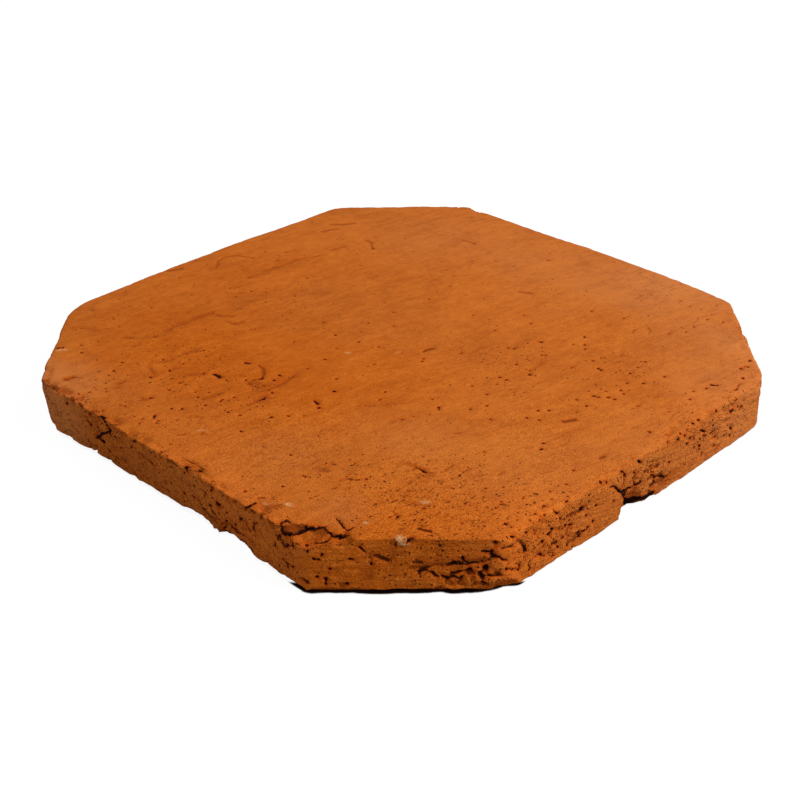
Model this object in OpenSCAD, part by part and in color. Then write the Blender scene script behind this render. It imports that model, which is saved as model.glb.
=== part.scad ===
// Octagon floor tile of hand-cut terracotta, lying on its bed face.
// A square slab with its four corners cut off, fired as one piece.
// Lists of four go round the tile anticlockwise, seen from above.
// Long sides: -Y, +X, +Y, -X. Corner cuts: front (+X -Y), right (+X +Y), back (-X +Y), left (-X -Y).

/* [Tile] */
// Size across each pair of long sides
tile_w = 300; // [200:1:400]
// Thickness from the bed to the face
tile_t = 27; // [18:0.5:40]
// Length cut off each edge of the square at a corner
corner_cut = 57; // [40:1:80]

/* [Sides, hand cut] */
// How far the middle of each long side bows out
long_bow = [0, 0.5, 2.5, 1]; // [-3:0.5:4]
// Where along each long side its bow is greatest, as a share of its length
long_bow_place = [0.5, 0.5, 0.32, 0.5]; // [0.2:0.01:0.8]
// How far each corner cut lies outside its true line
cut_shift = [0, -0.5, 0.5, 1]; // [-3:0.5:3]
// How far the foot of each long side stands out from the face above it
long_lean = [-0.5, 0.5, -1.5, -1.5]; // [-5:0.5:3]
// How far the foot of each corner cut stands out from the face above it
cut_lean = [0.5, 0, -1.5, -4]; // [-5:0.5:3]
// How far the foot of each long side bows out more than the face above it
long_foot_bow = [-2.5, 0.5, 0, 0]; // [-4:0.5:3]
// Waver of the cutting wire along a side
side_waver = 0.4; // [0:0.1:1]
// Length of one waver
waver_length = 62; // [30:1:120]

/* [Edges] */
// Corner radius at the start of each cut, seen from above
cut_start_r = [8, 20, 12, 34]; // [6:1:40]
// Corner radius at the end of each cut, seen from above
cut_end_r = [10, 7, 16, 9]; // [6:1:40]
// Wear radius of the face edge along each long side
long_arris_r = [1.5, 3.5, 2, 2]; // [1:0.5:5]
// Wear radius of the face edge along each corner cut
cut_arris_r = [1.5, 2.5, 2, 2]; // [1:0.5:5]
// Height of the rounded foot, all round
foot_rise = 2.5; // [1:0.5:5]
// How far the rounded foot draws in under the tile
foot_inset = 4; // [1:0.5:6]

/* [Face] */
// Fall of the face at its edge, from hand smoothing
face_fall = 0.8; // [0:0.1:2]
// Height of the slow waves of the face
face_wave = 0.4; // [0:0.1:1]
// Length of one wave of the face
face_wave_length = 170; // [80:5:300]

/* [Hidden] */
SIDES = 8;
TURN = 360 / SIDES;
side_steps = 10;
corner_steps = 5;
round_steps = 3;
wall_steps = 3;
face_steps = 9;
shell_steps = 8;
terracotta = [0.75, 0.42, 0.18];
cut_length = corner_cut * sqrt(2);

// One value for each side, long sides and corner cuts in turn.
function around(long, cut) = [for (i = [0 : SIDES - 1]) i % 2 == 0 ? long[i / 2] : cut[(i - 1) / 2]];

side_line = around([1, 1, 1, 1] * tile_w / 2, [1, 1, 1, 1] * (tile_w - corner_cut) / sqrt(2) + cut_shift);
straight = [0, 0, 0, 0];
face_bow = around(long_bow, straight);
foot_bow = around(long_bow + long_foot_bow, straight);
bow_place = around(long_bow_place, straight + [1, 1, 1, 1] / 2);
side_lean = around(long_lean, cut_lean);
side_arris = around(long_arris_r, cut_arris_r);
corner_r = around(cut_start_r, cut_end_r);

// Broken spots: side, place along it from its middle, height on the wall, length, depth and drop.
// A side with a half is the corner after that side.
FACE = 1;
MIDDLE = 0;
FOOT = -1;
long_end = tile_w / 2 - corner_cut;
cut_end = cut_length / 2;
breaks = [
    [0.5, 0, FACE, 30, 11, 5],
    [1, 14 - cut_end, FACE, 13, 4, 3.5],
    [0, 18, FACE, 22, 8, 1.5],
    [0, 48, FOOT, 26, 6, 6],
    [0, 20, FOOT, 22, 3, 4],
    [1.5, 0, FOOT, 22, 6, 6],
    [2, -10, FOOT, 18, 6, 13],
    [2.5, 0, MIDDLE, 30, 2.5, 8],
    [3, 10, FACE, 18, 2.5, 4],
    [4, -53, FACE, 9, 1.5, 2],
    [4, long_end - 7, FACE, 13, 3, 3],
    [7, 14, FACE, 8, 1.5, 1.5],
    [7.5, 0, FOOT, 14, 4, 4],
];

function heading(angle) = [cos(angle), sin(angle)];
function side_angle(i) = -90 + TURN * i;
function along(i) = heading(side_angle(i) + 90);
function mix(a, b, s) = a + (b - a) * s;
function next(i) = (i + 1) % SIDES;
function before(i) = (i + SIDES - 1) % SIDES;
function bow_at(i, s, bow) = bow[i] * sin(180 * pow(s, ln(0.5) / ln(bow_place[i])));

// Point where side i, moved to distance a from the centre, meets the next side, moved to distance b.
function meet(i, a, b) = heading(side_angle(i)) * a + along(i) * (b - a * cos(TURN)) / sin(TURN);

// Centre of the round corner between side i and the next one.
function corner_centre(i, line) = meet(i, line[i] - corner_r[i], line[next(i)] - corner_r[i]);

// Points of side i between its corners, each with its outward heading and edge wear.
function side_points(i, line, bow) =
    let (
        out = heading(side_angle(i)),
        start = corner_centre(before(i), line) + out * corner_r[before(i)],
        end = corner_centre(i, line) + out * corner_r[i],
        span = norm(end - start)
    )
    [for (k = [1 : side_steps - 1])
        let (
            s = k / side_steps,
            waver = side_waver * sin(360 * s * span / waver_length + 70 * i) * sin(180 * s)
        )
        [mix(start, end, s) + out * (bow_at(i, s, bow) + waver), out, side_arris[i]]];

// Points of the round corner after side i, likewise.
function corner_points(i, line) =
    [for (k = [0 : corner_steps])
        let (s = k / corner_steps, out = heading(side_angle(i) + TURN * s))
        [corner_centre(i, line) + out * corner_r[i], out, mix(side_arris[i], side_arris[next(i)], s)]];

// Point of side i at a place along it, or of the corner after a side.
function edge_point(i, place, line, bow) =
    i != floor(i) ? meet(floor(i), line[floor(i)], line[next(floor(i))]) + along(i) * place :
    let (
        start = corner_centre(before(i), line) * along(i),
        end = corner_centre(i, line) * along(i),
        s = max(0, min(1, (place - start) / (end - start)))
    )
    heading(side_angle(i)) * (line[i] + bow_at(i, s, bow)) + along(i) * place;

function outline(line, bow) = [for (i = [0 : SIDES - 1])
    each concat(side_points(i, line, bow), corner_points(i, line))];

face_outline = outline(side_line, face_bow);
foot_outline = outline(side_line + side_lean, foot_bow);
count = len(face_outline);
all_points = [for (p = concat(face_outline, foot_outline)) p[0]];
box_low = [for (axis = [0, 1]) min([for (p = all_points) p[axis]])];
box_high = [for (axis = [0, 1]) max([for (p = all_points) p[axis]])];

// Point i of the wall at height z, drawn in from the side by inset.
function wall_point(i, z, inset) =
    let (flat = mix(foot_outline[i][0], face_outline[i][0], z / tile_t) - face_outline[i][1] * inset)
    [flat.x, flat.y, z];

// Height of the face at a place, reach going from 0 at the centre to 1 at the edge.
function face_height(flat, reach) =
    tile_t - face_fall * pow(reach, 9)
    + face_wave * sin(360 * flat.x / face_wave_length + 40) * sin(360 * flat.y / face_wave_length + 110);

function foot_ring(turn) = [for (i = [0 : count - 1])
    wall_point(i, foot_rise * (1 - cos(turn)), foot_inset * (1 - sin(turn)))];

function wall_ring(s) = [for (i = [0 : count - 1])
    wall_point(i, mix(foot_rise, tile_t - face_fall - face_outline[i][2], s), 0)];

function arris_ring(turn) = [for (i = [0 : count - 1])
    let (
        wear = face_outline[i][2],
        flat = wall_point(i, tile_t, wear * (1 - cos(turn))),
        top = face_height(flat, 1)
    )
    [flat.x, flat.y, mix(tile_t - face_fall - wear, top, sin(turn))]];

function face_ring(reach) = [for (i = [0 : count - 1])
    let (flat = wall_point(i, tile_t, face_outline[i][2]) * reach)
    [flat.x, flat.y, face_height(flat, reach)]];

// The slab as one skin: foot round, leaning wall, worn face edge and waved face, ring over ring.
module slab() {
    rings = concat(
        [for (k = [0 : round_steps]) foot_ring(90 * k / round_steps)],
        [for (k = [1 : wall_steps]) wall_ring(k / wall_steps)],
        [for (k = [1 : round_steps]) arris_ring(90 * k / round_steps)],
        [for (k = [1 : face_steps - 1]) face_ring(1 - pow(k / face_steps, 1.3))]
    );
    last = len(rings) - 1;
    crown = len(rings) * count;
    polyhedron(
        points = concat([for (ring = rings) each ring], [[0, 0, face_height([0, 0], 0)]]),
        faces = concat(
            [[for (i = [0 : count - 1]) i]],
            [for (k = [0 : last - 1], i = [0 : count - 1])
                let (j = (i + 1) % count, low = k * count, high = low + count)
                each [[low + i, high + i, high + j], [low + i, high + j, low + j]]],
            [for (i = [0 : count - 1]) [last * count + (i + 1) % count, last * count + i, crown]]
        ),
        convexity = 4
    );
}

// Shell-shaped break along an edge: a spheroid that reaches in by depth at the edge, and down or up by drop.
module side_break(i, place, edge, length, depth, drop) {
    beyond = max(0, drop * drop - depth * depth) / (2 * depth);
    above = max(0, depth * depth - drop * drop) / (2 * drop);
    radius = (depth * depth + drop * drop) / (2 * min(depth, drop));
    half_length = length / 2 / sqrt(1 - (beyond * beyond + above * above) / (radius * radius));
    height = (1 + edge) / 2;
    foot_seat = edge_point(i, place, side_line + side_lean, foot_bow);
    face_seat = edge_point(i, place, side_line, face_bow);
    seat = mix(foot_seat, face_seat, height) + heading(side_angle(i)) * beyond;
    translate([seat.x, seat.y, tile_t * height + above * edge])
    rotate([0, 0, side_angle(i)])
    rotate([90, 0, 0])
    rotate_extrude($fn = 40)
    polygon([for (k = [0 : shell_steps])
        let (turn = 180 * k / shell_steps)
        [radius * sin(turn), half_length * cos(turn)]]);
}

module tile() {
    color(terracotta)
    translate([-(box_low.x + box_high.x) / 2, -(box_low.y + box_high.y) / 2, 0])
    difference() {
        slab();
        for (spot = breaks) side_break(spot[0], spot[1], spot[2], spot[3], spot[4], spot[5]);
    }
}

tile();
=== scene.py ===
import bpy
import numpy as np
from mathutils import Matrix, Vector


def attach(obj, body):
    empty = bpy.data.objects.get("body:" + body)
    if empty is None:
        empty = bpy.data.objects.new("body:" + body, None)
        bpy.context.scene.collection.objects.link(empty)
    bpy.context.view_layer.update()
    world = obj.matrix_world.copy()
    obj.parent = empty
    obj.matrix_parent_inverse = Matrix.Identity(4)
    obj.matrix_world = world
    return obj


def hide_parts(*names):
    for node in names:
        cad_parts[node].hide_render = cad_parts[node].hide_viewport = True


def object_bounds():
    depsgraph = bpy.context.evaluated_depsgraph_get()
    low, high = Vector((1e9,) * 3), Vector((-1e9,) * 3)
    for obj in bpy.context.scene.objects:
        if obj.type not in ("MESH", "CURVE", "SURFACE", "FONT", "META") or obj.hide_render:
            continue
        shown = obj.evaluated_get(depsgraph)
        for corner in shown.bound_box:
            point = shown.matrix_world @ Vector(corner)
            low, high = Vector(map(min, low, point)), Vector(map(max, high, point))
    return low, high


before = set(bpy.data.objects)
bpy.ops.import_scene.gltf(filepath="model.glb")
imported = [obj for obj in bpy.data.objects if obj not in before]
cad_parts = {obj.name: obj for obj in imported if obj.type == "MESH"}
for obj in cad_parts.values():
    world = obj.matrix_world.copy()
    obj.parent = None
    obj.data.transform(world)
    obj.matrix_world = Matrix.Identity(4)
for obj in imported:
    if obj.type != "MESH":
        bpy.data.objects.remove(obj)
cad_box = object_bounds()

# Viewpoint
# A camera on a tripod, in front of the corner cut between +X and -Y and looking down at it.
# It comes first, because the marks on the tile are placed by picture points.
MM = 0.001
IMAGE_SIZE = 800
SENSOR = 36.0
LENS = 65.4
CAMERA_TURN = np.radians(45.094)
CAMERA_RISE = np.radians(29.996)
CAMERA_ROLL = np.radians(-0.285)
CAMERA_DISTANCE = 667.3
CAMERA_TARGET = np.array([42.44, -45.78, 27.0])

camera_back = np.array([
    np.sin(CAMERA_TURN) * np.cos(CAMERA_RISE),
    -np.cos(CAMERA_TURN) * np.cos(CAMERA_RISE),
    np.sin(CAMERA_RISE),
])
level_right = np.array([np.cos(CAMERA_TURN), np.sin(CAMERA_TURN), 0.0])
level_up = np.cross(camera_back, level_right)
camera_right = np.cos(CAMERA_ROLL) * level_right + np.sin(CAMERA_ROLL) * level_up
camera_up = np.cos(CAMERA_ROLL) * level_up - np.sin(CAMERA_ROLL) * level_right
camera_eye = CAMERA_TARGET + camera_back * CAMERA_DISTANCE
pixels_per_slope = LENS / SENSOR * IMAGE_SIZE


def picture_points(points):
    """Where points show in the picture: their slopes to the side and down from the lens, as pixels."""
    sight = points - camera_eye
    depth = -(sight @ camera_back)
    across = IMAGE_SIZE / 2 + pixels_per_slope * (sight @ camera_right) / depth
    down = IMAGE_SIZE / 2 - pixels_per_slope * (sight @ camera_up) / depth
    return np.column_stack([across, down])


def picture_rays(spots):
    """Directions from the lens through picture points: right and up by their slopes, and forward by one."""
    slopes = (np.asarray(spots, float) - IMAGE_SIZE / 2) / pixels_per_slope
    return slopes[:, :1] * camera_right - slopes[:, 1:] * camera_up - camera_back


def stand(name, data, axes, spot):
    """Stands a camera or a lamp at a spot, by its right, up and backward axes, and gives its object."""
    thing = bpy.data.objects.new(name, data)
    standing = np.eye(4)
    standing[:3, :3] = np.column_stack(axes)
    standing[:3, 3] = spot * MM
    thing.matrix_world = Matrix(standing.tolist())
    bpy.context.scene.collection.objects.link(thing)
    return thing


camera_data = bpy.data.cameras.new("tripod_camera")
camera_data.sensor_width = SENSOR
camera_data.lens = LENS
camera_axes = [camera_right, camera_up, camera_back]
bpy.context.scene.camera = stand("tripod_camera", camera_data, camera_axes, camera_eye)

# The slab
# A square of soft clay pressed in a frame, its four corners cut off by hand with a wire, then fired.
# Lists of four go round anticlockwise: long sides -Y, +X, +Y, -X and cuts front, right, back, left.
TILE_W = 300.0
TILE_T = 27.0
CORNER_CUT = 57.0
LONG_BOW = (0.0, 0.5, 2.5, 1.0)
LONG_BOW_PLACE = (0.5, 0.5, 0.32, 0.5)
CUT_SHIFT = (0.0, -0.5, 0.5, 1.0)
LONG_LEAN = (-0.5, 0.5, -1.5, -1.5)
CUT_LEAN = (0.5, 0.0, -1.5, -4.0)
LONG_FOOT_BOW = (-2.5, 0.5, 0.0, 0.0)
SIDE_WAVER = 0.4
WAVER_LENGTH = 62.0
CUT_START_R = (8.0, 20.0, 12.0, 34.0)
CUT_END_R = (10.0, 7.0, 16.0, 9.0)
LONG_ARRIS_R = (1.5, 3.5, 2.0, 2.0)
CUT_ARRIS_R = (0.8, 2.5, 2.0, 2.0)
FOOT_RISE = 2.5
FOOT_INSET = 4.0
FACE_FALL = 0.8
FACE_WAVE = 0.4
FACE_WAVE_LENGTH = 170.0

# Where the waver and the waves start, how sharply the face falls, and where that fades at the front cut.
WAVER_STEP = np.radians(70)
WAVE_START = np.radians((40, 110))
FALL_POWER = 9
FRONT_FALL = (125.0, 166.0)

SIDES = 8
TURN = 2 * np.pi / SIDES
FLAT_CUTS = (0.0, 0.0, 0.0, 0.0)
HALF_WAY = (0.5, 0.5, 0.5, 0.5)
FIRST_SIDE = 7
LEFT_SIDE = 0
FRONT_CUT = 1
RIGHT_SIDE = 2


def around(long, cut):
    """One value for each side, long sides and corner cuts in turn."""
    return np.stack([long, cut], axis=1).ravel()


cut_line = (TILE_W - CORNER_CUT) / np.sqrt(2) + np.array(CUT_SHIFT)
face_line = around(np.full(4, TILE_W / 2), cut_line)
foot_line = face_line + around(LONG_LEAN, CUT_LEAN)
face_bow = around(LONG_BOW, FLAT_CUTS)
foot_bow = around(np.add(LONG_BOW, LONG_FOOT_BOW), FLAT_CUTS)
bow_skew = np.log(0.5) / np.log(around(LONG_BOW_PLACE, HALF_WAY))
side_arris = around(LONG_ARRIS_R, CUT_ARRIS_R)
corner_r = around(CUT_START_R, CUT_END_R)


def heading(angle):
    """Unit vectors in the floor plane at angles from +X."""
    return np.stack([np.cos(angle), np.sin(angle)], axis=-1)


side_angle = -np.pi / 2 + TURN * np.arange(SIDES)
side_out = heading(side_angle)
side_along = heading(side_angle + np.pi / 2)


def corner_centres(line):
    """Centres of the round corners: where two neighbour sides, drawn in by the corner's radius, meet."""
    near = line - corner_r
    far = np.roll(line, -1) - corner_r
    slide = (far - near * np.cos(TURN)) / np.sin(TURN)
    return side_out * near[:, None] + side_along * slide[:, None]


def side_ends(line):
    """Start and end of the straight stretch of each side, where its round corners leave it."""
    centres = corner_centres(line)
    start = np.roll(centres, 1, axis=0) + side_out * np.roll(corner_r, 1)[:, None]
    end = centres + side_out * corner_r[:, None]
    return start, end


def outline(place, line, bow):
    """Points of an outline, with their outward headings and edge wear.
    Place counts sides and round corners in turn from the left cut on: a side is a straight line plus a
    skewed half sine of its bow and a sine of the wire's waver, and a corner is an arc."""
    step = np.floor(place).astype(int)
    share = (place - step)[..., None]
    side = (step // 2 + FIRST_SIDE) % SIDES
    start, end = (points[side] for points in side_ends(line))
    span = np.linalg.norm(end - start, axis=-1)[..., None]
    waver = SIDE_WAVER * np.sin(2 * np.pi * share * span / WAVER_LENGTH + WAVER_STEP * side[..., None])
    swell = bow[side][..., None] * np.sin(np.pi * share ** bow_skew[side][..., None])
    on_side = start + (end - start) * share + side_out[side] * (swell + waver * np.sin(np.pi * share))
    turned = heading(side_angle[side] + TURN * share[..., 0])
    on_corner = corner_centres(line)[side] + turned * corner_r[side][..., None]
    is_side = (step % 2 == 0)[..., None]
    wear = side_arris[side] + (np.roll(side_arris, -1) - side_arris)[side] * share[..., 0] * (step % 2)
    return np.where(is_side, on_side, on_corner), np.where(is_side, side_out[side], turned), wear


def smooth(value, low, high):
    """0 below low, 1 above high, and an S-curve between them."""
    share = np.clip((value - low) / (high - low), 0, 1)
    return share * share * (3 - 2 * share)


def edge_fall(flat):
    """Fall of the face at its edge, which fades out towards the crisp arris of the front cut."""
    return FACE_FALL * (1 - smooth(flat[..., :2] @ side_out[FRONT_CUT], *FRONT_FALL))


def face_height(flat, reach):
    """Height of the face: the thickness, less a fall by a high power of reach, plus slow waves."""
    wave_x = np.sin(2 * np.pi * flat[..., 0] / FACE_WAVE_LENGTH + WAVE_START[0])
    wave_y = np.sin(2 * np.pi * flat[..., 1] / FACE_WAVE_LENGTH + WAVE_START[1])
    return TILE_T - edge_fall(flat) * reach ** FALL_POWER + FACE_WAVE * wave_x * wave_y


KNOTS = 32


def cloud(points, size, seed):
    """Lumps of a given size, from -1 to 1: random numbers on a lattice, with S-curves between them."""
    knots = np.random.default_rng(seed).uniform(-1, 1, (KNOTS, KNOTS, KNOTS))
    spot = points / size
    cell = np.floor(spot).astype(int)
    share = smooth(spot - cell, 0, 1)
    total = np.zeros(len(points))
    for corner in np.ndindex(2, 2, 2):
        weight = np.prod(np.where(corner, share, 1 - share), axis=1)
        total += weight * knots[tuple(((cell + corner) % KNOTS).T)]
    return total


# The skin of the slab is a square grid over the face, with its corners at the middles of the corner cuts,
# rows that run down the arris, the wall and the foot, and a square grid of half as many cells over the bed.
CELLS = 212
ARRIS_ROWS = 4
WALL_ROWS = 28
FOOT_ROWS = 4
FRONT_CROWD = 0.3
TINY = 1e-9

start, end = side_ends(face_line)
stretch_length = np.stack([np.linalg.norm(end - start, axis=1), corner_r * TURN], axis=1)
stretch_length = np.roll(stretch_length, 1, axis=0).ravel()
run = np.concatenate([[0.0], np.cumsum(np.append(stretch_length, stretch_length[0]))])
run_at_quarters = np.interp(0.5 + 4 * np.arange(5), np.arange(len(run)), run)


def quarter_place(quarter, share):
    """Place on the outline at a share of a quarter of it, which runs from one cut's middle to the next."""
    first = run_at_quarters[quarter]
    return np.interp(first + share * (run_at_quarters[quarter + 1] - first), run, np.arange(len(run)))


def square_grid(cells):
    """A square of points that covers the slab: their reach from the centre, from 0 to 1, and outline place.
    Reach is the larger of the two grid parameters, and place follows from their ratio. Cells crowd to
    the front."""
    even = np.linspace(0, 1, cells + 1)
    crowded = even + FRONT_CROWD * even * (1 - even)
    u, v = np.meshgrid(2 * crowded - 1, 1 - 2 * crowded[::-1], indexing="ij")
    reach = np.maximum(np.maximum(np.abs(u), np.abs(v)), TINY)
    quarter = np.select([v == -reach, u == reach, v == reach], [0, 1, 2], 3)
    slope = np.choose(quarter, [u, v, -u, -v]) / reach
    return reach, quarter_place(quarter, (slope + 1) / 2)


def grid_ring(cells):
    """Numbers of a square grid's border points, anticlockwise from the left cut's middle."""
    number = np.arange((cells + 1) ** 2).reshape(cells + 1, cells + 1)
    return np.concatenate([number[:-1, 0], number[-1, :-1], number[:0:-1, -1], number[0, :0:-1]])


def grid_quads(cells):
    """The cells of a square grid, as the numbers of their corners."""
    number = np.arange((cells + 1) ** 2).reshape(cells + 1, cells + 1)
    corners = [number[:-1, :-1], number[1:, :-1], number[1:, 1:], number[:-1, 1:]]
    return np.stack([corner.ravel() for corner in corners], axis=1)


face_reach, face_place = (values.ravel() for values in square_grid(CELLS))
flat, out, wear = outline(face_place, face_line, face_bow)
flat = (flat - out * wear[:, None]) * face_reach[:, None]
face_points = np.column_stack([flat, face_height(flat, face_reach)])

face_ring = grid_ring(CELLS)
ring_place = face_place[face_ring]
ring_face, ring_out, ring_wear = outline(ring_place, face_line, face_bow)
ring_foot = outline(ring_place, foot_line, foot_bow)[0]
ring_size = len(face_ring)
ring_spots = np.column_stack([ring_foot, np.zeros(ring_size)])

# The ragged line of the foot, in shares of its rise: higher on two sides, lower on a stretch of the left.
SAME_SIDE = (0.90, 0.98)
ALL_LIFT = 0.4
FRONT_LIFT = 0.75
LEFT_LIFT = 0.4
LUMP_LIFT = 0.35
CRUMB_LIFT = 0.3
RIGHT_CALM = 0.6
LOW_FROM = (12.0, 20.0)
LOW_TO = (42.0, 50.0)
LOW_DROP = 0.6
LIFT_LIMITS = (0.5, 4.5)
FOOT_CURVE = 1.2

front_share, left_share, right_share = (
    smooth(ring_out @ side_out[side], *SAME_SIDE) for side in (FRONT_CUT, LEFT_SIDE, RIGHT_SIDE)
)
ragged = LUMP_LIFT * cloud(ring_spots, 11.0, 1) + CRUMB_LIFT * cloud(ring_spots, 3.5, 2)
low_stretch = smooth(ring_foot[:, 0], *LOW_FROM) * (1 - smooth(ring_foot[:, 0], *LOW_TO))
ring_rise = ALL_LIFT + FRONT_LIFT * front_share + LEFT_LIFT * left_share
ring_rise += (1 - RIGHT_CALM * right_share) * ragged
ring_rise -= LOW_DROP * left_share * low_stretch
ring_rise = np.clip(FOOT_RISE * ring_rise, *LIFT_LIMITS)


def wall_row(height, inset):
    """One row of the wall: between foot and face outline by its height, drawn in by an inset."""
    share = (height / TILE_T)[:, None]
    row = ring_foot + (ring_face - ring_foot) * share - ring_out * inset[:, None]
    return np.column_stack([row, height])


def arris_row(turn):
    """One row of the worn face edge: a quarter round, from a right angle at the face to 0 at the wall."""
    row = wall_row(np.full(ring_size, TILE_T), ring_wear * (1 - np.cos(turn)))
    row[:, 2] = wall_top + (face_height(row, 1.0) - wall_top) * np.sin(turn)
    return row


def foot_row(share):
    """One row under the foot, on the slope from the wall's ragged lower edge, at 0, to the bed, at 1."""
    return wall_row(ring_rise * (1 - share ** FOOT_CURVE), np.full(ring_size, FOOT_INSET * share))


quarter_turn = np.pi / 2
wall_top = TILE_T - edge_fall(ring_face) - ring_wear
rows = [arris_row(quarter_turn * (1 - k / ARRIS_ROWS)) for k in range(1, ARRIS_ROWS + 1)]
rows += [wall_row(wall_top + (ring_rise - wall_top) * k / WALL_ROWS, np.zeros(ring_size))
         for k in range(1, WALL_ROWS + 1)]
rows += [foot_row(k / (FOOT_ROWS + 1)) for k in range(1, FOOT_ROWS + 1)]

bed_reach, bed_place = (values.ravel() for values in square_grid(CELLS // 2))
flat, out, _ = outline(bed_place, foot_line, foot_bow)
flat = (flat - out * FOOT_INSET) * bed_reach[:, None]
bed_points = np.column_stack([flat, np.zeros(len(flat))])

skin = np.concatenate([face_points] + rows + [bed_points])
bed_first = len(skin) - len(bed_points)
row_numbers = np.concatenate([face_ring, len(face_points) + np.arange(len(rows) * ring_size)])
row_numbers = row_numbers.reshape(-1, ring_size)
upper, lower = row_numbers[:-1], row_numbers[1:]
wall_quads = np.stack([upper, lower, np.roll(lower, -1, axis=1), np.roll(upper, -1, axis=1)], axis=-1)
wall_quads = wall_quads.reshape(-1, 4)
bed_quads = bed_first + grid_quads(CELLS // 2)[:, ::-1]
quads = np.concatenate([grid_quads(CELLS), wall_quads, bed_quads])

foot_left, foot_middle = row_numbers[-1, 0::2], row_numbers[-1, 1::2]
foot_right = np.roll(foot_left, -1)
bed_left = bed_first + grid_ring(CELLS // 2)
bed_right = np.roll(bed_left, -1)
hem_triangles = np.concatenate([
    np.stack([foot_left, bed_left, foot_middle], axis=1),
    np.stack([foot_middle, bed_left, bed_right], axis=1),
    np.stack([foot_middle, bed_right, foot_right], axis=1),
])

both_outlines = np.concatenate([ring_face, ring_foot])
box_middle = (both_outlines.min(axis=0) + both_outlines.max(axis=0)) / 2
skin[:, :2] -= box_middle


def skin_normals():
    """Outward unit normals of the skin: each cell's two diagonals crossed, summed at its corners."""
    diagonal_a = skin[quads[:, 2]] - skin[quads[:, 0]]
    diagonal_b = skin[quads[:, 3]] - skin[quads[:, 1]]
    cell_normals = np.cross(diagonal_a, diagonal_b)
    normals = np.zeros_like(skin)
    for corner in quads.T:
        np.add.at(normals, corner, cell_normals)
    return normals / np.linalg.norm(normals, axis=1, keepdims=True)


# Wear and roughness of the slab
# The wire dragged the wall's grit, the face edge lost crumbs, and the foot tore where it was lifted.
# All of it is taken away from the true shape, so nothing stands out past the sides.
WALL_SLOPE = (0.15, 0.75)
EDGE_REACH = (0.965, 0.995)
ARRIS_BAND = (TILE_T - 6, TILE_T - 2.5)
FOOT_BAND = (-6.0, -1.5)
SIDE_BAND = (138.0, 146.0)
FRONT_BAND = (164.0, 169.0)
NEAR_BAND = (-60.0, 120.0)
DRAG_SLOPE = 0.75
RIGHT_DRAG_SLOPE = 0.23
DRAG_STRETCH = 0.08
RIGHT_FOOT_CALM = 0.6
LEAST_CRUMBLY = 0.25
FRONT_CRISP = 0.7
LEFT_CRUMBLY = 1.2
NO_GAP = 4.0

# Depths of the wear: on the walls, along the face edge and along the foot.
WALL_SCUFF = 0.3
WALL_DRAG = 0.25
WALL_TEAR = 0.8
EDGE_CRUMB = 0.8
EDGE_LUMP = 0.4
EDGE_SPECK = 0.5
FOOT_CRUMB = 1.1
FOOT_LUMP = 0.7

normals = skin_normals()
wallness = smooth(1 - np.abs(normals[:, 2]), *WALL_SLOPE)
edgeness = smooth(face_reach, *EDGE_REACH)
edgeness = np.concatenate([edgeness, np.ones(len(rows) * ring_size), np.zeros(len(bed_points))])
arris_share = smooth(skin[:, 2], *ARRIS_BAND) * edgeness
foot_share = smooth(-skin[:, 2], *FOOT_BAND) * wallness
long_end = TILE_W / 2 - CORNER_CUT
cut_end = CORNER_CUT / np.sqrt(2)
drag_height = skin[:, 2] + DRAG_SLOPE * np.minimum(skin[:, 0] - long_end, 0)
drag_height += RIGHT_DRAG_SLOPE * np.maximum(skin[:, 1] + long_end, 0)
drag_place = np.column_stack([skin[:, :2] * DRAG_STRETCH, drag_height])
drag = cloud(drag_place, 1.3, 11) * 0.5 + cloud(skin, 2.2, 12) * 0.5
crumbs = smooth(cloud(skin, 3.2, 13), 0.0, 0.8)
lumps = smooth(cloud(skin, 9.0, 14), -0.2, 0.9)
torn = smooth(cloud(skin, 6.0, 15), 0.2, 0.7) * smooth(cloud(skin, 2.0, 16), -0.1, 0.6)
specks = smooth(cloud(skin, 1.7, 17), 0.25, 0.8)
near_front = smooth(skin[:, 0] - skin[:, 1], *NEAR_BAND)
left_wall = smooth(-skin[:, 1], *SIDE_BAND)
right_wall = smooth(skin[:, 0], *SIDE_BAND)
front_wall = smooth(skin[:, :2] @ side_out[FRONT_CUT], *FRONT_BAND)
crumbly = LEAST_CRUMBLY + (1 - LEAST_CRUMBLY) * smooth(cloud(skin, 24.0, 18), -0.3, 0.5) * near_front
crumbly = crumbly * (1 - FRONT_CRISP * front_wall) + LEFT_CRUMBLY * left_wall
loss = wallness * (WALL_SCUFF + WALL_DRAG * drag + WALL_TEAR * torn)
loss += arris_share * crumbly * (EDGE_CRUMB * crumbs + EDGE_LUMP * lumps + EDGE_SPECK * specks)
loss += foot_share * (1 - RIGHT_FOOT_CALM * right_wall) * (FOOT_CRUMB * crumbs + FOOT_LUMP * lumps)
skin -= normals * loss[:, None]
skin[:, 2] = np.maximum(skin[:, 2], 0.0)

# Holes along the -Y face edge are only painted: dark specks of painted shade among the crumbs.
arris_holes = left_wall * arris_share * smooth(cloud(skin, 2.1, 19), 0.15, 0.5)
gap = NO_GAP - 3.5 * arris_holes
painted_shade = 0.6 * smooth(arris_holes, 0.0, 0.2)
broken = np.clip(0.8 * arris_share * crumbly * crumbs + 0.6 * foot_share * crumbs, 0, 1)
pale, dust_and_sheen, rich_and_shade, scraped_and_lit = np.zeros((4, len(skin)))

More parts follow.
